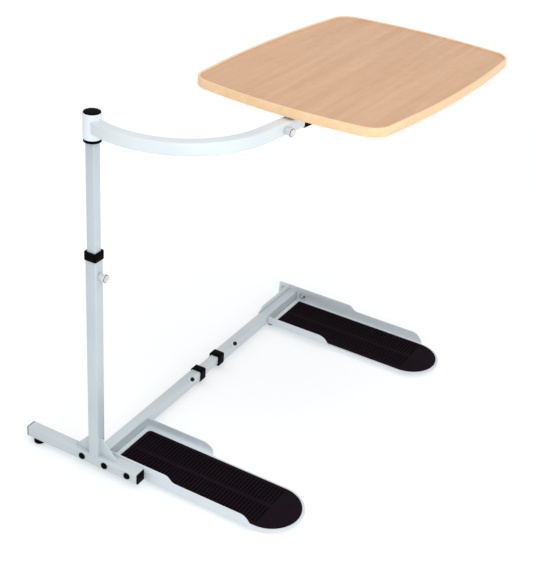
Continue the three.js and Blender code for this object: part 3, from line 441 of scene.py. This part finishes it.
# Square tubes, plates and moulded collars keep their CAD shape with rounded edges.
BEVELS = {
    "side_rail": 0.5,
    "rail_front_plug": 0.5,
    "rail_rear_plug": 0.5,
    "post_outer_tube": 0.5,
    "gusset_rear": 0.5,
    "gusset_front": 0.5,
    "post_collar": 0.6,
    "post_inner_tube": 0.5,
    "crossbar_near_tube": 0.5,
    "crossbar_far_tube": 0.5,
    "crossbar_inner_tube": 0.5,
    "crossbar_near_collar": 0.6,
    "crossbar_far_collar": 0.6,
    "near_foot_plate": 0.6,
    "far_foot_plate": 0.6,
    "near_mat": 0.3,
    "far_mat": 0.3,
    "arm_end_collar": 0.6,
    "tray_slide_tube": 0.4,
    "tray_bracket": 0.5,
    "near_lock_boss": 0.4,
    "far_lock_boss": 0.4,
    "swivel_spindle": 0.3,
    "swivel_upper_bush": 0.2,
}
EXTRA = [n for n in nodes if "_pad_" in n or "insert" in n or n.startswith("tray_screw")]
for node in sorted(BEVELS):
    refined(node, BEVELS[node])
for node in sorted(EXTRA):
    refined(node, 0.3)


# ---- Turned parts ------------------------------------------------------------

lathe_node(
    "arm_sleeve",
    [
        (BORE_RADIUS, SLEEVE_BOTTOM),
        (17.1, SLEEVE_BOTTOM),
        (SLEEVE_RADIUS, 757.4),
        (SLEEVE_RADIUS, 805.5),
        (16.7, SLEEVE_TOP),
        (BORE_RADIUS, SLEEVE_TOP),
    ],
    (0, 0, 0),
    Z_AXIS,
    segments=72,
    closed=True,
)
lathe_node(
    "swivel_ring_bush",
    [
        (12.2, 750.8),
        (16.6, 750.8),
        (17.1, 751.4),
        (17.1, 755.9),
        (16.8, 756.5),
        (15.0, 756.5),
        (15.0, 773.8),
        (12.2, 773.8),
    ],
    (0, 0, 0),
    Z_AXIS,
    segments=72,
    closed=True,
)
lathe_node(
    "sleeve_cap",
    [
        (0, 798),
        (15.0, 798),
        (15.0, 806.6),
        (16.3, 806.6),
        (16.5, 807.2),
        (16.1, 807.9),
        (14.6, 808.5),
        (10.0, 809.0),
        (5.0, 809.25),
        (0, 809.3),
    ],
    (0, 0, 0),
    Z_AXIS,
    segments=72,
    bevel=0.25,
)

BOLT_Y = {"rear": 29.0, "middle": -29.0, "front": -87.0}
for label, y in BOLT_Y.items():
    lathe_node(
        "rail_bolt_" + label,
        [
            (0, -4.4),
            (2.0, -4.38),
            (4.0, -4.0),
            (5.8, -3.2),
            (6.9, -2.2),
            (7.4, -1.2),
            (7.6, -0.4),
            (7.6, 0),
            (3.0, 0),
            (3.0, 33.0),
            (2.2, 33.8),
            (0, 33.8),
        ],
        (-12.8, y, RAIL_CENTRE_Z),
        X_AXIS,
        bevel=0.2,
    )

lathe_node(
    "rail_rear_foot",
    [
        (0, 0),
        (8.0, 0),
        (9.6, 0.25),
        (10.9, 1.1),
        (11.7, 2.5),
        (12.0, 4.4),
        (12.0, 12.6),
        (11.4, 13.2),
        (4.0, 13.2),
        (4.0, 15.3),
        (5.4, 16.0),
        (3.4, 20.0),
        (0, 20.0),
    ],
    (0, 154.7, 0),
    Z_AXIS,
    bevel=0.3,
)

KNOB_LENGTH = 13.2
KNOB_HEAD_START = 7.2
KNOB_NECK = 6.8
KNOB_RADIUS = 8.2
HEIGHT_STUD = 5.5
ARM_STUD = 7.3
BOSS_HEIGHT = 3.0
BOSS = [(3.3, 0), (7.0, 0), (7.0, 2.4), (6.4, BOSS_HEIGHT), (3.3, BOSS_HEIGHT)]


def clamp_knob(node, boss_node, radius, stud, seat, axis):
    """A round dished head on a neck and stud, and the boss that it screws into."""
    axis = Vector(axis)
    lathe_node(boss_node, BOSS, seat, axis, closed=True)
    grip = [
        (0, -stud),
        (2.4, -stud),
        (3.0, 0.8 - stud),
        (3.0, 0.5),
        (KNOB_NECK, 0.5),
        (KNOB_NECK, KNOB_HEAD_START),
        (radius * 0.86, KNOB_HEAD_START),
        (radius * 0.95, KNOB_HEAD_START + 0.4),
        (radius, KNOB_HEAD_START + 1.3),
        (radius, KNOB_LENGTH - 1.3),
        (radius * 0.96, KNOB_LENGTH - 0.5),
        (radius * 0.87, KNOB_LENGTH),
        (radius * 0.58, KNOB_LENGTH),
        (radius * 0.5, KNOB_LENGTH - 0.3),
        (radius * 0.44, KNOB_LENGTH - 0.8),
        (0, KNOB_LENGTH - 0.8),
    ]
    start = Vector(seat) + axis * BOSS_HEIGHT
    lathe_node(node, grip, start, axis, bevel=0.2)
    # A thin black ring round the rim of the head darkens the knob's outer edge, standing in for the
    # dark outline along it.
    edge = [
        (radius - 0.95, KNOB_LENGTH - 0.1),
        (radius - 0.3, KNOB_LENGTH - 0.3),
        (radius, KNOB_LENGTH - 1.0),
        (radius - 0.6, KNOB_LENGTH - 1.3),
    ]
    ring = lathe_piece(node, edge, start, axis, bevel=0, name=node + "_edge_ring", closed=True)
    finish_piece(ring, node, "black_plastic")


height_knob_spot = (0, -TUBE / 2 - GAP, HEIGHT_KNOB_Z)
clamp_knob("height_knob", "height_knob_boss", KNOB_RADIUS, HEIGHT_STUD, height_knob_spot, -Y_AXIS)


def heading(angle):
    return Vector((math.cos(angle), math.sin(angle), 0))


def arm_point(along):
    """Position and heading on the arm's centre line at a distance along it."""
    lead = min(along, ARM_LEAD)
    bend = min(max(along - ARM_LEAD, 0), ARM_BEND)
    tail = max(along - ARM_LEAD - ARM_BEND, 0)
    start = heading(ARM_START)
    side = Vector((-start.y, start.x, 0))
    turn = bend / ARM_RADIUS
    point = start * (lead + ARM_RADIUS * math.sin(turn))
    point += side * (ARM_RADIUS * (1 - math.cos(turn)))
    point += heading(ARM_START + turn) * tail
    return point + Z_AXIS * ARM_Z, heading(ARM_START + turn)


ARM_LENGTH = ARM_LEAD + ARM_BEND + ARM_TAIL
arm_end, arm_forward = arm_point(ARM_LENGTH)
arm_outward = Vector((arm_forward.y, -arm_forward.x, 0))
arm_knob_spot = arm_end - arm_forward * ARM_KNOB_FROM_END
arm_knob_spot += arm_outward * (TUBE / 2 + GAP) - Z_AXIS * ARM_KNOB_DROP
clamp_knob("arm_knob", "arm_knob_boss", KNOB_RADIUS, ARM_STUD, arm_knob_spot, arm_outward)

CROSS_Z = 23.7
corner_way = Vector((0, -1, 1)).normalized()
for label, x in (("near", 340.5), ("far", 527.0)):
    lathe_node(
        label + "_lock_screw",
        [
            (0, 0),
            (2.4, 0),
            (3.0, 0.6),
            (3.0, 5.2),
            (5.0, 5.2),
            (5.0, 8.9),
            (4.7, 9.5),
            (4.2, 9.8),
            (2.6, 9.8),
            (2.6, 7.8),
            (0, 7.8),
        ],
        Vector((x, 0, CROSS_Z)) + corner_way * 13.7,
        corner_way,
        bevel=0.15,
    )


# ---- Swing arm ---------------------------------------------------------------


def rounded_square(size, corner, steps=6):
    """Points of a square section with round corners, anticlockwise."""
    half = size / 2
    points = []
    for quarter in range(4):
        a0 = math.tau * quarter / 4
        centre = Vector((math.cos(a0 + math.pi / 4), math.sin(a0 + math.pi / 4)))
        centre *= (half - corner) * math.sqrt(2)
        for i in range(steps + 1):
            a = a0 + math.pi / 2 * i / steps
            points.append(centre + Vector((math.cos(a), math.sin(a))) * corner)
    return points


def arm_section(along, section):
    point, way = arm_point(along)
    side = Vector((-way.y, way.x, 0))
    return [placed(point + side * p.x + Z_AXIS * p.y) for p in section]


def arm_mouth(section):
    """The arm's first ring, coped so that it lies just inside the round sleeve's wall."""
    reach = SLEEVE_RADIUS - 0.4
    return [arm_section(math.sqrt(reach**2 - p.x**2), [p])[0] for p in section]


def build_arm(builder):
    outer = rounded_square(TUBE, 4.0)
    inner = rounded_square(TUBE - 3.0, 2.5)
    stops = [ARM_LEAD]
    stops += [ARM_LEAD + ARM_BEND * (i + 1) / ARM_BEND_STEPS for i in range(ARM_BEND_STEPS)]
    stops += [ARM_LENGTH - 60, ARM_LENGTH]
    rings = [arm_mouth(outer)] + [arm_section(s, outer) for s in stops]
    rings += [arm_section(s, inner) for s in reversed(stops)] + [arm_mouth(inner)]
    close_rows(builder, turned_grid(builder, rings))


arm_piece = new_piece("swing_arm_look", build_arm)
soften(arm_piece, 0.4, 40.0, 2)
stand_for(arm_piece, "swing_arm")


def bead(name, path, radius, node, closed=True, ripple=0.12, pitch=3.0):
    """A weld bead: a rippled round seam along a path given in millimetres."""
    points = [Vector(p) for p in path]
    count = len(points)
    sides = 10

    def build(builder):
        travelled = 0.0
        rings = []
        for i, point in enumerate(points):
            before = points[(i - 1) % count] if closed or i else point
            after = points[(i + 1) % count] if closed or i < count - 1 else point
            way = (after - before).normalized()
            across = way.orthogonal().normalized()
            across = (Z_AXIS - way * way.dot(Z_AXIS)).normalized() if abs(way.z) < 0.9 else across
            other = way.cross(across)
            if i:
                travelled += (point - points[i - 1]).length
            swell = radius * (1 + ripple * math.sin(math.tau * travelled / pitch))
            ring = []
            for s in range(sides):
                a = math.tau * s / sides
                offset = across * math.cos(a) + other * math.sin(a)
                ring.append(placed(point + offset * swell))
            rings.append(ring)
        rows = turned_grid(builder, rings)
        if closed:
            close_rows(builder, rows)
        else:
            builder.faces.new(rows[0])
            builder.faces.new(rows[-1])

    piece = new_piece(name, build)
    return finish_piece(piece, node, "white_coat")


def resampled(corners, step, closed=True):
    """Evenly spaced points along straight runs between corners."""
    points = []
    count = len(corners) if closed else len(corners) - 1
    for i in range(count):
        a = Vector(corners[i])
        b = Vector(corners[(i + 1) % len(corners)])
        parts = max(1, round((b - a).length / step))
        points += [a.lerp(b, k / parts) for k in range(parts)]
    if not closed:
        points.append(Vector(corners[-1]))
    return points


def arm_weld():
    way = heading(ARM_START)
    side = Vector((-way.y, way.x, 0))
    loop = []
    section = [Vector((p.x, p.y, 0)) for p in rounded_square(TUBE - 0.2, 4.0, 4)]
    for p in resampled(section, WELD_STEP):
        depth = math.sqrt(max(SLEEVE_RADIUS**2 - p.x**2, 0))
        loop.append(way * (depth + 0.1) + side * p.x + Z_AXIS * (ARM_Z + p.y))
    bead("arm_weld", loop, WELD_RADIUS, "swing_arm")


arm_weld()
half = TUBE / 2 - 0.4
post_foot = [(half, half), (-half, half), (-half, -half), (half, -half)]
bead(
    "post_foot_weld",
    resampled([(x, y, RAIL_TOP + 0.2) for x, y in post_foot], WELD_STEP),
    1.1,
    "post_outer_tube",
)
for side, node in ((1, "gusset_rear"), (-1, "gusset_front")):
    for face in (-1.5, 1.5):
        run = [(face, side * 13.0, 80), (face, side * 13.0, 39.2), (face, side * 52.0, 39.2)]
        bead(
            f"{node}_weld_{'left' if face < 0 else 'right'}",
            resampled(run, WELD_STEP, False),
            WELD_RADIUS,
            node,
            closed=False,
        )


def seam(name, start, stop, node):
    """A straight weld bead."""
    bead(name, resampled([start, stop], WELD_STEP, False), WELD_RADIUS, node, closed=False)


def build_rail_fillet(builder):
    """A smooth fillet of filler in the crease between the rail's top and the plate's wall."""
    section = [(8.0, 38.2), (8.0, 38.52), (9.6, 38.7), (11.0, 39.4), (12.1, 40.7), (12.78, 42.6)]
    section.append((12.78, 36.0))
    ends = [[placed((x, y, z)) for x, z in section] for y in (-110.6, 41.6)]
    rows = turned_grid(builder, ends)
    for row in rows:
        builder.faces.new(row)


rail_fillet = new_piece("rail_plate_fillet", build_rail_fillet)
soften(rail_fillet, 0.1, 50.0, 1)
finish_piece(rail_fillet, "side_rail")

# Welds between the crossbar's ends and the foot plates; the far plate mirrors the near one.
CROSSBAR_FACE = -12.9
CROSSBAR_TOP = 36.0
PLATE_FLOOR = 10.6
WALL_INSIDE = 14.9
INNER_WALL_INSIDE = 166.6
MIRROR_SUM = 856.3
for node, sign, offset in (("near_foot_plate", 1, 0), ("far_foot_plate", -1, MIRROR_SUM)):
    for label, x, top in (("outer", WALL_INSIDE, CROSSBAR_TOP), ("inner", INNER_WALL_INSIDE, 33.0)):
        spot = offset + sign * x
        start = (spot, CROSSBAR_FACE, PLATE_FLOOR)
        seam(f"{node}_{label}_weld", start, (spot, CROSSBAR_FACE, top), node)
    across = offset + sign * WALL_INSIDE
    ends = [(across, y, CROSSBAR_TOP) for y in (-12.4, 12.4)]
    seam(f"{node}_top_weld", *ends, node)
    run = [offset + sign * x for x in (WALL_INSIDE, INNER_WALL_INSIDE)]
    start = (run[0], CROSSBAR_FACE, PLATE_FLOOR + 0.4)
    seam(f"{node}_floor_weld", start, (run[1], CROSSBAR_FACE, PLATE_FLOOR + 0.4), node)


# ---- Tray --------------------------------------------------------------------


def corner_centre(end_radius, side_radius):
    """Where two inset side arcs cross in the first quadrant."""
    end = Vector((TRAY_HALF_LENGTH - TRAY_END_BOW, 0))
    side = Vector((0, TRAY_HALF_DEPTH - TRAY_SIDE_BOW))
    between = side - end
    distance = between.length
    along = (end_radius**2 - side_radius**2 + distance**2) / (2 * distance)
    across = math.sqrt(end_radius**2 - along**2)
    unit = between / distance
    middle = end + unit * along
    normal = Vector((-unit.y, unit.x))
    options = [middle + normal * across, middle - normal * across]
    return next(p for p in options if p.x > 0 and p.y > 0)


def arc(cx, cy, radius, start, stop, steps):
    points = []
    for i in range(steps):
        a = start + (stop - start) * i / steps
        points.append(Vector((cx + radius * math.cos(a), cy + radius * math.sin(a), 0)))
    return points


def tray_outline(inset):
    corner = max(TRAY_CORNER - inset, 1.0)
    centre = corner_centre(TRAY_END_BOW - inset - corner, TRAY_SIDE_BOW - inset - corner)
    end_x = TRAY_HALF_LENGTH - TRAY_END_BOW
    side_y = TRAY_HALF_DEPTH - TRAY_SIDE_BOW
    ends = math.atan2(centre.y, centre.x - end_x)
    sides = math.atan2(centre.y - side_y, centre.x)
    pi = math.pi
    long_steps, short_steps, corner_steps = 36, 28, 20
    end_r = TRAY_END_BOW - inset
    side_r = TRAY_SIDE_BOW - inset
    cx, cy = centre.x, centre.y
    points = arc(end_x, 0, end_r, -ends, ends, short_steps)
    points += arc(cx, cy, corner, ends, sides, corner_steps)
    points += arc(0, side_y, side_r, sides, pi - sides, long_steps)
    points += arc(-cx, cy, corner, pi - sides, pi - ends, corner_steps)
    points += arc(-end_x, 0, end_r, pi - ends, pi + ends, short_steps)
    points += arc(-cx, -cy, corner, pi + ends, pi + sides, corner_steps)
    points += arc(0, -side_y, side_r, pi + sides, 2 * pi - sides, long_steps)
    points += arc(cx, -cy, corner, 2 * pi - sides, 2 * pi - ends, corner_steps)
    return points


sag_axis = Vector((-math.sin(TRAY_SAG_WAY), math.cos(TRAY_SAG_WAY), 0))
sag_turn = Quaternion(sag_axis, TRAY_SAG)
tray_turn = Matrix.Rotation(TRAY_TURN, 3, "Z")


def on_tray(point):
    """From the tray's own frame, underside at z = 0, to the row frame in metres."""
    level = tray_turn @ Vector(point) + TRAY_CENTRE - SAG_PIVOT
    return placed(sag_turn @ level + SAG_PIVOT + Z_AXIS * TRAY_UNDERSIDE)


def tray_ring(inset, height):
    return [on_tray((p.x, p.y, height)) for p in tray_outline(inset)]


BOARD_TOP = TRAY_HEIGHT - TRAY_RECESS
LIP_PROFILE = [
    (TRAY_LIP, 0.4),
    (5.0, 0.0),
    (2.2, 0.0),
    (1.1, 0.3),
    (0.35, 1.0),
    (0.0, 2.0),
    (0.0, 16.2),
    (0.2, 17.1),
    (0.65, 17.8),
    (1.3, 18.25),
    (2.1, 18.4),
    (3.4, 18.4),
    (4.2, 18.2),
    (4.9, 17.6),
    (5.3, 16.7),
    (TRAY_LIP, 15.4),
]


def build_lip(builder):
    close_rows(builder, turned_grid(builder, [tray_ring(d, z) for d, z in LIP_PROFILE]))


lip_piece = new_piece("tray_edge_lip_look", build_lip)
soften(lip_piece, 0.3, 50.0, 1)
stand_for(lip_piece, "tray_edge_lip")


def build_board(builder):
    profile = [
        (TRAY_LIP + 0.5, 1.0),
        (TRAY_LIP + 0.15, 1.3),
        (TRAY_LIP + 0.15, BOARD_TOP - 0.35),
        (TRAY_LIP + 0.5, BOARD_TOP),
    ]
    rows = turned_grid(builder, [tray_ring(d, z) for d, z in profile])
    builder.faces.new(rows[0])
    builder.faces.new(rows[-1])


board_piece = new_piece("tray_board_look", build_board)
soften(board_piece, 0.1, 40.0, 1)
stand_for(board_piece, "tray_board")


# ---- Stage, light and camera ---------------------------------------------------


def soft_sun(name, source, strength, spread, colour):
    """An even, wide light that shines from the source direction onto the origin."""
    light = bpy.data.lights.new(name, "SUN")
    light.energy = strength
    light.angle = math.radians(spread)
    light.color = colour
    lamp = bpy.data.objects.new(name, light)
    scene.collection.objects.link(lamp)
    lamp.location = source
    lamp.rotation_euler = (-Vector(source)).to_track_quat("-Z", "Y").to_euler()
    return lamp


def area_light(name, location, target, size, power, colour):
    """A round soft panel that faces its target."""
    light = bpy.data.lights.new(name, "AREA")
    light.shape = "DISK"
    light.size = size
    light.energy = power
    light.color = colour
    lamp = bpy.data.objects.new(name, light)
    scene.collection.objects.link(lamp)
    lamp.location = location
    aim = Vector(target) - Vector(location)
    lamp.rotation_euler = aim.to_track_quat("-Z", "Y").to_euler()
    return lamp


FLOOR_REACH = 14.0


def build_floor(builder):
    reach = FLOOR_REACH
    corners = [(-reach, -reach, 0), (reach, -reach, 0), (reach, reach, 0), (-reach, reach, 0)]
    builder.faces.new([builder.verts.new(c) for c in corners])


floor = new_piece("floor", build_floor)
floor_shader = Shader("studio_floor", (0.55, 0.555, 0.56), 0.6, Emission_Strength=0.42)
floor_shader.principled.inputs["Emission Color"].default_value = (0.98, 0.99, 1.0, 1)
floor_tone = floor_shader.remap(floor_shader.noise(1.5, 2), 0.3, 0.7, 0, 1)
floor_shader.colour_from(floor_shader.mix(floor_tone, (0.545, 0.55, 0.555), (0.555, 0.56, 0.565)))
floor.data.materials.append(floor_shader.material)

world = bpy.data.worlds.new("studio")
scene.world = world
world.use_nodes = True
background = world.node_tree.nodes["Background"]
background.inputs["Color"].default_value = (0.96, 0.98, 1.0, 1)
background.inputs["Strength"].default_value = 0.79

soft_sun("key", (-0.4, -1.1, 4.0), 1.05, 60, (1.0, 0.99, 0.975))
area_light("front_panel", (-1.35, -1.3, 0.95), (-0.3, 0, 0.78), 0.7, 10.0, (0.86, 0.955, 1.0))

CAMERA_LENS = 74.79
CAMERA_SENSOR = 36
camera_data = bpy.data.cameras.new("camera")
camera_data.sensor_width = CAMERA_SENSOR
camera_data.lens = CAMERA_LENS
camera = bpy.data.objects.new("camera", camera_data)
scene.collection.objects.link(camera)
scene.camera = camera
camera_right = Vector((0.50824195, -0.85904123, 0.06114151))
camera_up = Vector((0.41182585, 0.30477534, 0.85878487))
camera_back = camera_right.cross(camera_up)
camera_spot = Vector((-1998.797, -1082.835, 1642.185)) * MM
rotation = Matrix((camera_right, camera_up, camera_back)).transposed()
camera.matrix_world = Matrix.Translation(camera_spot) @ rotation.to_4x4()

scene.view_settings.view_transform = "Standard"
scene.view_settings.look = "None"
